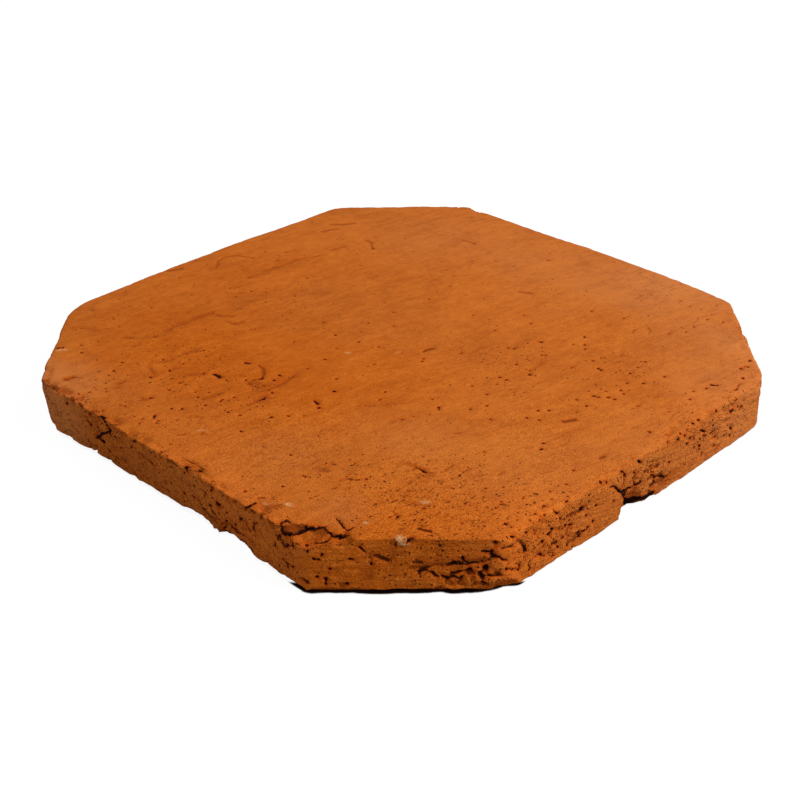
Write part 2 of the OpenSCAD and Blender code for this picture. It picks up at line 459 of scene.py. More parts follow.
# Broken spots
# Shell-shaped breaks where the fired edge was knocked, each one a spheroid taken out along the edge.
# Side, place along it, height on the wall, length, depth and drop. A side with a half is the corner after.
FACE = 1
MIDDLE = 0
FOOT = -1
BREAK_ROUGH = (0.5, 0.35)
BREAKS = [
    (0.5, 0, FACE, 30, 11, 5),
    (1, 14 - cut_end, FACE, 13, 4, 3.5),
    (0, 18, FACE, 22, 8, 1.5),
    (0, 48, FOOT, 26, 6, 6),
    (0, 20, FOOT, 22, 3, 4),
    (1.5, 0, FOOT, 22, 6, 6),
    (2, -10, FOOT, 18, 6, 13),
    (2.5, 0, MIDDLE, 30, 2.5, 8),
    (3, 10, FACE, 18, 2.5, 4),
    (4, -53, FACE, 9, 1.5, 2),
    (4, long_end - 7, FACE, 13, 3, 3),
    (7, 14, FACE, 8, 1.5, 1.5),
    (7.5, 0, FOOT, 14, 4, 4),
]


def edge_point(side, along, line, bow):
    """Point of a side at a place along it, with its bow, or of the corner after a side."""
    i = int(side)
    if side != i:
        slide = (line[(i + 1) % SIDES] - line[i] * np.cos(TURN)) / np.sin(TURN)
        return side_out[i] * line[i] + side_along[i] * slide
    start, end = (points[i] @ side_along[i] for points in side_ends(line))
    share = np.clip((along - start) / (end - start), 0, 1)
    return side_out[i] * (line[i] + bow[i] * np.sin(np.pi * share ** bow_skew[i])) + side_along[i] * along


for side, along, edge, length, depth, drop in BREAKS:
    beyond = max(0, drop ** 2 - depth ** 2) / (2 * depth)
    above = max(0, depth ** 2 - drop ** 2) / (2 * drop)
    radius = (depth ** 2 + drop ** 2) / (2 * min(depth, drop))
    half_length = length / 2 / np.sqrt(1 - (beyond ** 2 + above ** 2) / radius ** 2)
    height = (1 + edge) / 2
    seat = edge_point(side, along, face_line, face_bow) * height
    seat += edge_point(side, along, foot_line, foot_bow) * (1 - height)
    angle = -np.pi / 2 + TURN * side
    seat += heading(angle) * beyond - box_middle
    axis = np.append(heading(angle + np.pi / 2), 0)
    offset = skin - np.append(seat, TILE_T * height + above * edge)
    lengthwise = offset @ axis
    across = offset - lengthwise[:, None] * axis
    distance = np.linalg.norm(across, axis=1)
    rough = BREAK_ROUGH[0] * cloud(skin, 2.5, 21) + BREAK_ROUGH[1] * cloud(skin, 1.3, 22)
    reach = radius * np.sqrt(np.clip(1 - (lengthwise / half_length) ** 2, 0, 1)) + rough
    inside = (np.abs(lengthwise) < half_length) & (distance < reach)
    pushed = skin + across * (reach / distance - 1)[:, None]
    if edge == FACE:
        pushed[:, 2] = np.minimum(pushed[:, 2], skin[:, 2])
    skin[inside] = pushed[inside]
    broken[inside] = 1.0
    gap[inside] = NO_GAP
skin[:, 2] = np.maximum(skin[:, 2], 0.0)

# Crumbled patches, where the wall's grit fell out: place, radius and depth. Each is sunk, and painted
# darker as painted shade in its hollows.
CRUMB_SPREAD = (0.4, 1.1)
CRUMB_GAP = 3.3
CRUMB_DARK = 0.55
CRUMBLED = [
    (133, -109, 5, 8, 1.3), (138, -103, 6, 9, 1.6), (144, -97, 8, 9, 1.6), (148, -90, 14, 9, 1.2),
    (150, -78, 16, 12, 1.3), (150, -66, 10, 10, 1.1), (150, -52, 8, 9, 0.8), (150, -2, 14, 12, 1.5),
    (150, 8, 8, 9, 1.2), (150, 48, 18, 14, 1.2), (150, 64, 16, 14, 1.2), (146, 86, 18, 12, 1.0),
    (122, 118, 20, 16, 0.9), (40, -150, 9, 13, 1.3), (30, -150, 7, 9, 1.2), (58, -150, 12, 11, 0.8),
    (-45, -150, 8, 10, 1.2), (-50, -150, 17, 9, 0.9), (88, -150, 14, 8, 1.0), (104, -138, 4, 9, 0.7),
    (-48, -150, 2, 8, 1.4), (-58, -150, 2, 8, 1.3), (-70, -150, 2, 7, 1.0),
]
normals = skin_normals()
for x, y, z, radius, depth in CRUMBLED:
    nearness = 1 - smooth(np.linalg.norm(skin - (x, y, z), axis=1), *np.multiply(CRUMB_SPREAD, radius))
    fallen = smooth(cloud(skin, 2.6, 71) + 0.6 * cloud(skin, 1.4, 72), 0.15, 0.6)
    skin -= normals * (nearness * fallen * depth)[:, None]
    gap = np.minimum(gap, NO_GAP - CRUMB_GAP * nearness * fallen)
    painted_shade = np.maximum(painted_shade, CRUMB_DARK * smooth(nearness, 0.0, 0.3))
skin[:, 2] = np.maximum(skin[:, 2], 0.0)

# Marks of the clay
# Air pits, drag grooves, cracks and grit that show on the face and the walls, placed by picture points.
normals = skin_normals()
bare_skin = skin.copy()
shown = picture_points(bare_skin)
facing = np.einsum("ij,ij->i", normals, camera_eye - bare_skin) > 0


def seats(spots):
    """Points of the skin under picture points: each one's ray, cut by the skin's plane near it."""
    rays = picture_rays(spots)
    found = []
    for spot, ray in zip(np.asarray(spots, float), rays):
        near = np.argmin(np.where(facing, np.sum((shown - spot) ** 2, axis=1), np.inf))
        reach = (bare_skin[near] - camera_eye) @ normals[near] / (ray @ normals[near])
        found.append(camera_eye + ray * reach)
    return np.array(found)


def offsets_from(points, line):
    """Shortest vectors to points, and their lengths, from a chain of straight pieces along a line."""
    best = points - line[0]
    best_length = np.linalg.norm(best, axis=1)
    for first, last in zip(line[:-1], line[1:]):
        piece = last - first
        share = np.clip((points - first) @ piece / (piece @ piece), 0, 1)
        offset = points - first - share[:, None] * piece
        length = np.linalg.norm(offset, axis=1)
        nearer = length < best_length
        best[nearer] = offset[nearer]
        best_length = np.minimum(best_length, length)
    return best, best_length


CRACK_STEP = 0.9
CRACK_SWAY = 0.3
CRACK_GRIT = 1.6
GATHER = 0.62
GATHER_REACH = 3.5
LEAST_REACH = 3.0
UNEVEN_WIDTH = 0.4
UNEVEN_SIZE = 1.7
PIT_FLOOR = 0.35
PIT_EDGE = 1.3
PIT_MARGIN = 3.0
TINT_FLOOR = 0.45


def crooked(line):
    """The same line with a small sideways step every millimetre or so, as a crack runs through grit."""
    run = np.append(0, np.cumsum(np.linalg.norm(np.diff(line, axis=0), axis=1)))
    steps = np.linspace(0, run[-1], int(run[-1] / CRACK_STEP) + 2)
    fine = line
    if len(line) > 1:
        fine = np.column_stack([np.interp(steps, run, line[:, k]) for k in range(3)])
    return fine + CRACK_SWAY * np.column_stack([cloud(fine, CRACK_GRIT, seed) for seed in (31, 32, 33)])


def press(line, half_width, depth):
    """Presses a pit round one point, or a groove along several, and gives the points near it and their fit.
    The skin is drawn together towards the line, so that enough points fall in it, then pushed in by the
    depth times a flat-bottomed bell of the fit, which is the distance over an uneven half width."""
    reach = max(GATHER_REACH * half_width, LEAST_REACH)
    boxed = np.all((skin > line.min(axis=0) - reach) & (skin < line.max(axis=0) + reach), axis=1)
    near = np.flatnonzero(boxed)
    across, length = offsets_from(skin[near], line)
    near, across, length = near[length < reach], across[length < reach], length[length < reach]
    if len(line) == 1 and len(near):
        slide = (1 - (length / reach) ** 2) ** 2
        skin[near] -= slide[:, None] * across[np.argmin(length)]
        across, length = offsets_from(skin[near], line)
    inward = normals[near]
    across -= np.sum(across * inward, axis=1)[:, None] * inward
    pull = GATHER * np.clip(1 - (length / reach) ** 2, 0, 1) ** 2
    skin[near] -= across * pull[:, None]
    uneven = 1 + UNEVEN_WIDTH * cloud(bare_skin[near], UNEVEN_SIZE, 34)
    fit = length * (1 - pull) / (half_width * uneven)
    skin[near] -= inward * (depth * (1 - smooth(fit, PIT_FLOOR, PIT_EDGE)))[:, None]
    return near, fit


def sink(line, half_width, depth, shade):
    """Presses a pit or groove and paints it dark, as painted shade inside it: the fit marks its edge, and a
    shade its darkness.
    """
    near, fit = press(line, half_width, depth)
    darker = (fit < PIT_EDGE) | ((fit < PIT_MARGIN) & (gap[near] > PIT_EDGE))
    painted_shade[near] = np.where(darker, np.maximum(painted_shade[near], shade), painted_shade[near])
    gap[near] = np.minimum(gap[near], fit)


def tint(line, half_width, depth, marks, amount):
    """Presses a shallow streak or grain, and raises a mark in it to an amount."""
    near, fit = press(line, half_width, depth)
    marks[near] = np.maximum(marks[near], amount * (1 - smooth(fit, TINT_FLOOR, PIT_EDGE)))


BLACK_PITS = [
    (548.4, 260.1), (150, 377), (151, 397), (182, 408.5), (272.5, 379), (265, 399), (334, 391),
    (394, 326), (402.5, 418.5), (531, 375), (586.5, 405.5), (637.5, 405.5), (750, 360.5),
    (318.5, 407), (245.5, 362.5), (249, 363), (541.5, 448.5), (505, 523.5), (398, 516),
]
DARK_PITS = [
    (82.5, 397), (113.5, 370.5), (81.5, 352.5), (122.5, 362), (155.5, 336), (228, 381.5),
    (279, 374.5), (273.5, 393.5), (172, 408.5), (154.5, 415.5), (228.5, 411.5), (240, 415),
    (271, 417), (288.5, 415.5), (223, 399), (220.5, 401), (234, 397), (205.5, 405), (203, 398.5),
    (195, 392), (169.5, 389.5), (180, 382.5), (204.5, 372), (170, 370), (183, 363.5), (171, 359.5),
    (204, 350.5), (213, 312.5), (378.5, 346.5), (336.5, 348), (336.5, 378.5), (335.5, 334.5),
    (361, 322.5), (359, 341.5), (393.5, 312), (307.5, 368.5), (324.5, 359), (380, 398.5),
    (385, 391.5), (365.5, 405), (412.5, 416.5), (374, 364), (423.5, 358.5), (422.5, 361),
    (489.5, 319.5), (494.5, 330), (473.5, 315), (524, 315), (531, 323), (459, 352.5), (462, 352.5),
    (472, 386), (499.5, 377), (497, 384), (505.5, 379.5), (487.5, 394), (516.5, 364), (529, 369.5),
    (542, 355.5), (545, 355), (538, 341.5), (542, 341.5), (508.5, 347.5), (515, 348.5),
    (523.5, 392.5), (487, 405.5), (470.5, 409), (432.5, 399), (438.5, 406.5), (438.5, 409.5),
    (429, 414.5), (549, 410), (538, 410.5), (526.5, 417.5), (539, 419.5), (490.5, 419), (608.5, 397),
    (620.5, 390), (623.5, 393.5), (644, 383), (627, 383), (637.5, 367), (630, 373), (598, 368),
    (601.5, 370), (593, 360.5), (601.5, 357.5), (621.5, 355), (645, 361.5), (572.5, 367),
    (584.5, 336.5), (584.5, 344.5), (585, 349), (573, 344.5), (624.5, 317.5), (591.5, 311),
    (640.5, 295.5), (686, 331.5), (669.5, 333), (593, 395.5), (598.5, 397), (577, 399.5),
    (614.5, 399), (606, 391), (664.5, 376.5), (577, 411.5), (543, 443), (573, 470), (649.5, 431.5),
    (668.5, 434.5), (484, 451.5), (745.5, 366), (748.5, 366.5), (740.5, 368.5), (743, 378),
    (739.5, 385.5), (736, 389.5), (712, 384.5), (717, 385), (707.5, 319), (694.5, 326),
    (723.5, 321.5), (693.5, 391), (690, 399), (706.5, 388), (241.5, 431), (420.5, 468),
    (358.5, 479.5), (341, 479.5), (366.5, 478.5), (370.5, 516), (422.5, 519), (177, 420),
    (291, 454.5), (283, 486), (245, 491), (178.8, 277.1), (306.7, 277.6), (264.8, 251.6),
    (285.4, 251.6), (313.3, 267.1), (373.9, 236.4), (372.7, 248.5), (413.9, 250.4), (495.1, 260.1),
    (429.7, 298.9),
]
FAINT_PITS = [
    (323, 275.6), (295.1, 295.7), (266, 292.1), (247.9, 276.3), (275.7, 260.6), (409, 225.2),
    (377.5, 271.5), (364.9, 272.7), (360.5, 265.4), (367.3, 291.4), (373.9, 294), (440.6, 245.3),
    (472.1, 260.6), (537, 269), (446.7, 270.3), (603, 281.9), (507.2, 281.2), (450.3, 286),
    (680.5, 300.6), (690, 306), (701, 309), (712, 314), (717, 305), (698, 318), (151.5, 307.5),
    (129.5, 306), (118, 298.5), (92, 310.5), (113.5, 318.5), (119.5, 326.5), (79.5, 328.5),
    (98.5, 341.5), (81.5, 345), (97, 359.5), (98.5, 371.5), (94, 387.5), (106.5, 391.5), (89.5, 392),
    (78, 393.5), (148.5, 406), (125.5, 406), (120.5, 405), (102.5, 410.5), (281.5, 299.5),
    (251.5, 291), (250.5, 329.5), (235, 334), (294.5, 341.5), (323.5, 322.5), (360.5, 331.5),
    (304, 415.5), (283, 405), (310, 498), (326, 463), (333, 464), (344, 469), (350, 474), (386, 492),
    (355, 463), (390, 517), (464, 494), (452, 488), (485, 488), (470, 505), (478, 503), (447, 515),
    (462, 524), (440, 508), (423, 509), (503, 487), (501, 501), (487, 507), (495.8, 507.6),
    (503, 504.5), (517.8, 512.7), (523.4, 498.4), (566.2, 484), (570.3, 491.2), (549.9, 491.2),
    (551.4, 498.9), (530.5, 519.8), (482.5, 521.8), (512, 527), (141.3, 419), (139.6, 423.3),
    (143, 418.2), (154, 418), (158.8, 420.5), (156.5, 422.8), (170.4, 443.7),
]
WALL_PITS = [
    (66.3, 404), (87.4, 420.2), (90.7, 424.5), (97.4, 427.4), (90.2, 413.5), (105.1, 442.3),
    (118, 458), (125.2, 461.9), (154.8, 456.1), (153.9, 470), (165.4, 482.4), (168.2, 491),
    (132.3, 447), (211, 490.7), (212.7, 498.2), (207.6, 505.6), (199.5, 501), (200.7, 505.1),
    (193.8, 497.6), (226.5, 512.5), (227.6, 497.6), (235.1, 501.6), (240.8, 518.8), (244.9, 508.5),
    (225.9, 521.7), (203.4, 509), (259.8, 531.5), (267.3, 563), (184.6, 468.9), (322, 554.9),
    (349.4, 559.5), (313.2, 559.1), (318.5, 560.2), (307.3, 550.7), (330.4, 569.3), (317.1, 577),
    (325.9, 579.1), (326.2, 584), (346.9, 583.3), (287.3, 567.9), (292.5, 567.5), (287.3, 564),
    (283.1, 560.2), (306.6, 544.7), (292.9, 543), (293.2, 547.2), (374.5, 564), (462.8, 557.7),
    (454.8, 562.4), (501.6, 559), (491.5, 551.5), (540.5, 520.9), (526.4, 532.3), (535.1, 513.9),
    (566.6, 501.9), (558.6, 512.9), (551.2, 528.9), (549.2, 535.6), (518.4, 565.1), (525.8, 550.4),
    (507, 569.8), (513, 569.8), (514.4, 537), (582.5, 508.5), (556.5, 513), (547, 534), (614, 501.5),
    (601, 482), (607, 482), (567, 501.5), (654, 475.5), (639.5, 461.5), (625.5, 476.5),
    (622.3, 471.3), (668, 434.5), (668, 439), (678.5, 439.5), (685, 435.5), (693.5, 423),
    (705, 431.5), (699, 419.5), (681, 433.5), (690.5, 437.5), (711.5, 433.5), (736.5, 400),
    (738.5, 407), (742, 407), (730.5, 412.5), (717, 411.5), (702, 453.5), (718, 446), (736, 389.5),
    (739.5, 385.5), (691, 439), (700, 446), (713, 446), (703, 431), (543.8, 505.5), (545.3, 515.2),
    (554, 510.6), (560.6, 518.8), (553, 530), (558.6, 529), (538.2, 538), (542.8, 541.7),
    (545.3, 544.8), (541.7, 547.3), (556, 542.2), (562.7, 537.7), (559, 547.3), (550.4, 548.4),
    (565.2, 526), (572.3, 524.4), (569.8, 525), (586.6, 515.7), (596.3, 505.5), (593.3, 521.3),
    (579, 532.6), (579, 536), (584, 531.5), (588, 528), (519.3, 569.8), (530, 566.7), (530, 569.8),
    (511.6, 536.6), (536.6, 555.5), (541, 554.5), (545.3, 556), (572.3, 547.3), (567.8, 545.3),
    (553.5, 555.5), (204.6, 493), (207.7, 506), (209.8, 506.7), (234.7, 524.4), (232.3, 526),
    (234, 528.4), (236.5, 532.6), (240, 532.3), (243.9, 536), (246.3, 542.5), (256.5, 523.5),
    (249.5, 530.9), (250.9, 511.2), (279, 566), (289.1, 545.3), (687.5, 430), (699.4, 431.9),
    (714.7, 436.7), (713.3, 445.3), (694.2, 448), (687.5, 444.3), (731, 429), (730.5, 436.2),
    (733.4, 410.8), (668.3, 442.4), (669.8, 462.5),
]
BIG_POCKETS = [
    (108.4, 450.9), (495.6, 543.4), (491.5, 551.7), (183.5, 493.4), (248.9, 505.6), (411, 541.2),
    (454.5, 562.3),
]
DEEP_POCKETS = [(486, 568.6), (469.5, 571.8)]
SOFT_BACK = 0.65
SOFT_BAND = (-150.0, 20.0)

# Half width, depth and darkness of each kind of pit; the darkness is painted shade inside the pit. Those
# far at the back are softer.
for spots, half_width, depth, shade in [
    (BLACK_PITS, 0.85, 1.2, 1.0),
    (DARK_PITS, 0.72, 0.9, 0.9),
    (FAINT_PITS, 0.65, 0.5, 0.65),
    (WALL_PITS, 0.72, 1.1, 1.0),
    (BIG_POCKETS, 0.95, 1.8, 1.0),
    (DEEP_POCKETS, 1.5, 2.4, 1.0),
]:
    for seat in seats(spots):
        softness = SOFT_BACK + (1 - SOFT_BACK) * smooth(seat[0] - seat[1], *SOFT_BAND)
        sink(seat[None], half_width, depth, shade * softness)

# Half width, depth, darkness and picture points of each crack, gouge and drag groove. The darkness is
# painted shade in the groove, and some shallow ones stand only for painted shade: ledges of the front-left
# break, the left corner's face edge and a low line along the front cut.
GROOVES = [
    (0.9, 1.2, 0.95, [(215, 373), (220.5, 377)]),
    (0.8, 1.2, 0.95, [(315.5, 400.5), (318, 403.5)]),
    (0.9, 0.6, 0.45, [(259, 365.5), (263, 367.5), (264, 373), (263.5, 377), (255, 378.5)]),
    (0.7, 0.6, 0.5, [(245.5, 381.5), (250.5, 384.5)]),
    (0.6, 0.8, 0.85, [(260.5, 377.5), (263.5, 376.8)]),
    (0.8, 1.2, 0.6, [(423, 351), (434, 347.5)]),
    (1.3, 0.8, 0.45, [(65.5, 379), (73.5, 376.5)]),
    (1.2, 0.6, 0.3, [(265, 389.5), (277, 385.5), (293.5, 375.5)]),
    (0.9, 0.5, 0.35, [(257, 401), (265, 397)]),
    (1.1, 0.9, 0.55, [(564, 421), (575, 419.5)]),
    (0.8, 0.7, 0.5, [(600, 458.5), (604.5, 456)]),
    (0.9, 1.0, 0.9, [(416, 467), (423, 469.5), (425.5, 470.5)]),
    (0.8, 0.9, 0.8, [(419, 528), (424, 529.5), (430, 530)]),
    (0.7, 0.8, 0.7, [(348.5, 478), (352, 479)]),
    (0.6, 0.7, 0.6, [(303, 475), (306, 476.5)]),
    (0.5, 0.4, 0.4, [(333, 488.5), (336.5, 487.5)]),
    (1.6, 0.5, 0.25, [(318, 468), (327, 470.5)]),
    (0.7, 0.4, 0.35, [(445, 471), (453, 464.5)]),
    (0.6, 0.4, 0.3, [(462, 473), (470, 468.5)]),
    (0.6, 0.4, 0.35, [(454, 433), (461, 432.5)]),
    (0.6, 0.3, 0.3, [(499, 474.5), (505, 472)]),
    (0.55, 1.2, 1.0, [(337.1, 517.7), (340.3, 520.2), (341.7, 523.7), (344.1, 527.2), (347.6, 530.4)]),
    (0.45, 0.9, 0.9, [(347.6, 530.4), (350.5, 529.5), (353.2, 526.5)]),
    (0.6, 1.4, 1.0, [(348.7, 534.2), (345.5, 536.7)]),
    (0.9, 1.0, 1.0, [(101.2, 416.4), (103.5, 420)]),
    (0.95, 1.2, 1.0, [(103.5, 420), (106, 424), (108.4, 427.4), (110, 430.5)]),
    (0.75, 1.0, 1.0, [(96.9, 437.9), (100, 435.5), (103.6, 433.2)]),
    (0.5, 0.9, 1.0, [(106, 433), (109.5, 432.2), (110.8, 436.5)]),
    (0.5, 0.8, 0.9, [(101, 440), (104.5, 442)]),
    # Painted shade along the face edge at the left corner.
    (0.9, 0.3, 0.4, [(44.5, 380), (50, 384.5), (57, 389)]),
    (0.45, 0.8, 0.9, [(140.5, 454.2), (152.4, 462.8)]),
    (0.45, 0.8, 0.75, [(213.3, 517), (215.5, 521)]),
    (0.45, 0.8, 0.7, [(217, 523), (219.5, 527.5)]),
    (0.55, 0.9, 0.9, [(212.3, 510.8), (214, 515)]),
    (0.4, 0.8, 0.75, [(216, 515.5), (217.2, 518)]),
    (0.6, 1.0, 0.8, [(253.5, 523.5), (253, 529.5)]),
    (0.6, 1.2, 0.9, [(275.5, 536), (277.5, 539.5)]),
    (0.6, 1.2, 0.9, [(278.5, 535.5), (281.5, 540.5), (283, 546)]),
    (0.5, 1.0, 0.9, [(274, 541.5), (274, 545.5), (277, 548.5)]),
    (0.7, 1.2, 0.9, [(285.5, 547.5), (287.5, 545)]),
    (0.7, 1.0, 0.9, [(301.3, 577.7), (304.5, 580.5), (307.6, 583.3)]),
    (0.5, 0.9, 0.85, [(314.6, 542.6), (319, 542), (323, 542.6), (328, 540.5)]),
    (0.7, 1.2, 0.95, [(359.5, 546), (363.5, 548.8)]),
    (0.6, 0.8, 0.8, [(379, 555), (383, 558), (387, 560)]),
    (0.55, 0.9, 0.95, [(417.5, 571.3), (424, 571.3)]),
    (0.4, 0.7, 0.8, [(419, 572), (419.5, 575)]),
    (0.5, 0.9, 0.95, [(430, 573), (433.5, 575.5), (437, 577.5)]),
    (0.5, 0.9, 0.95, [(443, 577), (448, 580)]),
    (0.4, 0.8, 0.9, [(448.5, 579.5), (449.5, 574), (453, 571)]),
    (0.5, 0.9, 0.95, [(452.5, 577), (462, 577.4)]),
    (0.45, 0.8, 0.9, [(455, 572.5), (462, 571.2)]),
    (0.8, 1.2, 1.0, [(479.5, 572.5), (482, 576), (483.5, 581)]),
    (0.5, 0.7, 0.8, [(487, 575.5), (495, 575.2), (502, 575.5)]),
    (0.5, 0.7, 0.75, [(413, 562), (421, 562)]),
    # Painted shade of a low ledge along the front cut.
    (0.9, 0.6, 0.3, [(411, 567.5), (440, 566), (470, 562.5), (487.6, 559), (499.6, 557)]),
    (0.5, 0.8, 0.85, [(482, 551.8), (488, 551.5)]),
    (0.5, 0.8, 0.8, [(502, 548.8), (505, 548.3)]),
    (0.5, 0.8, 0.85, [(508.5, 547.3), (513, 545.7)]),
    (0.7, 0.7, 0.55, [(518, 540.5), (521, 542.5), (524.5, 546.5)]),
    (0.5, 0.8, 0.85, [(498.5, 557.5), (501.5, 559.3), (505, 559.3)]),
    (0.7, 0.8, 0.6, [(567.9, 516.2), (576, 513), (584, 510.2)]),
    (0.7, 1.2, 0.95, [(582, 509), (585, 507.5)]),
    (0.5, 0.8, 0.85, [(611, 486.7), (614.5, 486)]),
    (0.6, 1.0, 0.8, [(626.1, 474.2), (624.5, 480), (623.3, 484.7)]),
    (0.6, 1.1, 0.9, [(634.3, 472.3), (636, 476), (633.8, 482.8)]),
    (0.7, 1.2, 0.95, [(638.6, 460.8), (641.5, 462.5)]),
    (0.6, 1.0, 0.95, [(639.5, 472), (643, 472.4)]),
    (0.5, 0.6, 0.5, [(644, 471.8), (651, 468.5), (658.7, 465.6)]),
    (0.45, 0.8, 0.85, [(634, 479), (634.3, 483.5)]),
    (0.6, 1.1, 0.95, [(651.5, 475.6), (656, 477), (662.5, 474.2)]),
    (0.6, 1.1, 0.95, [(655.8, 477.1), (652.9, 483.8), (650, 489.5)]),
    # Painted shade of the sunken ledges of the front-left break, behind its lip.
    (1.4, 0.2, 0.5, [(287, 527.5), (293, 528.6), (300, 527.6), (305, 526.6)]),
    (0.8, 0.2, 0.35, [(312, 532), (318, 532.8), (326, 533.6)]),
    (0.8, 0.2, 0.5, [(336, 533.8), (341, 534.6)]),
    # The black crescent of the front-left break: painted shade in the crack between its flake and the wall.
    (0.65, 0.9, 1.0, [(282.5, 526.8), (281.6, 530.2), (283.4, 533.5)]),
    (0.75, 1.0, 1.0, [(283.4, 533.6), (287.5, 534.8), (293.1, 534.3)]),
    (0.55, 0.9, 1.0, [(293.1, 534.3), (298.7, 532.8), (303.2, 531.8), (307.3, 529.4)]),
    (0.9, 1.2, 1.0, [(307, 528.5), (312, 527), (316, 526.2)]),
    (1.1, 1.2, 1.0, [(314, 526.8), (319, 526.8), (324, 526.8)]),
    (0.6, 1.0, 1.0, [(325, 527.2), (327, 530.2), (330.3, 532.6), (333.1, 535.4)]),
    (0.75, 1.0, 1.0, [(333.1, 535.4), (335.2, 537.4), (337.6, 538.4), (341, 537.4)]),
    (0.4, 0.7, 0.9, [(341, 537.4), (344.5, 536.4)]),
    (0.5, 0.9, 1.0, [(280.6, 523.4), (284.8, 521.2)]),
    (0.5, 0.6, 0.6, [(287, 519), (289.5, 522.5)]),
    (0.5, 0.6, 0.6, [(293, 524.5), (299, 526), (304, 525.5)]),
    # Painted shade in the gap and under the undercut lobe of the +X notch.
    (1.0, 1.2, 1.0, [(621.5, 491), (625, 490.6)]),
    (0.8, 1.2, 1.0, [(625, 490.6), (631, 487.6)]),
    (0.6, 1.0, 1.0, [(631, 487.6), (637, 484.6), (641, 482)]),
    (1.8, 0.9, 1.0, [(626, 502), (632, 500.5), (639, 499)]),
    (1.2, 0.8, 1.0, [(639, 499), (646, 496.5), (653, 493.8)]),
    (0.7, 0.8, 0.6, [(655, 483.5), (662, 478), (671, 470.5)]),
    (0.7, 0.5, 0.5, [(259.2, 497.6), (264.8, 497)]),
    (0.8, 0.4, 0.28, [(216.3, 267.9), (218.8, 260.6), (227.2, 256.2), (239.4, 255.3), (253.9, 258.2)]),
    (1.0, 0.6, 0.4, [(167, 270.6), (174, 270), (182, 268.4)]),
    (1.2, 0.3, 0.3, [(323, 231.5), (331, 229.5), (336.3, 229)]),
    (1.2, 0.3, 0.3, [(331.5, 224.2), (343, 224.5), (354.5, 223)]),
    (1.0, 0.3, 0.25, [(366.6, 240), (371.5, 243.5), (372.7, 248.5)]),
    (0.9, 0.3, 0.25, [(330.3, 250.4), (338, 248.5), (346, 246)]),
    (0.8, 0.3, 0.35, [(519.4, 291.6), (526.6, 292.6), (532.7, 293.3)]),
    (1.0, 0.3, 0.25, [(462.4, 240), (468, 241.5), (474.5, 243.6)]),
    (0.6, 0.3, 0.35, [(647.8, 327.2), (650, 330), (649.5, 332.8)]),
    (0.6, 0.3, 0.3, [(633.3, 333.3), (634, 330.5), (636.9, 328.5)]),
    (0.5, 0.9, 0.8, [(393.3, 541.5), (393.8, 545.5), (396.5, 548.5)]),
    (0.5, 0.8, 0.7, [(406, 536.6), (410.5, 536), (415.5, 537.6)]),
    (0.5, 0.7, 0.8, [(55.5, 347.6), (63, 347.2)]),
    (0.6, 0.5, 0.35, [(184, 457.5), (191, 458.5), (198, 463), (204.5, 469)]),
    (0.9, 1.0, 0.8, [(184.5, 469.5), (187.5, 473)]),
    (0.6, 1.0, 0.9, [(198, 470.5), (200, 471.5)]),
    (0.5, 0.8, 0.8, [(189.5, 460.5), (193, 461.5)]),
    (0.45, 0.8, 0.7, [(220.5, 521.5), (222, 524.5)]),
    (0.6, 1.0, 0.85, [(224, 528), (226.5, 531.5)]),
    (0.5, 0.9, 0.9, [(253, 503.2), (255.5, 502.4)]),
    (1.25, 2.0, 1.0, [(218.6, 504)]),
    # Painted shade under the nose of the +X notch's lobe.
    (0.6, 1.0, 1.0, [(615.5, 487.8), (620.5, 492)]),
    (0.9, 0.8, 1.0, [(623, 493), (625, 497), (626, 501)]),
]
for half_width, depth, shade, spots in GROOVES:
    sink(crooked(seats(spots)), half_width, depth, shade)

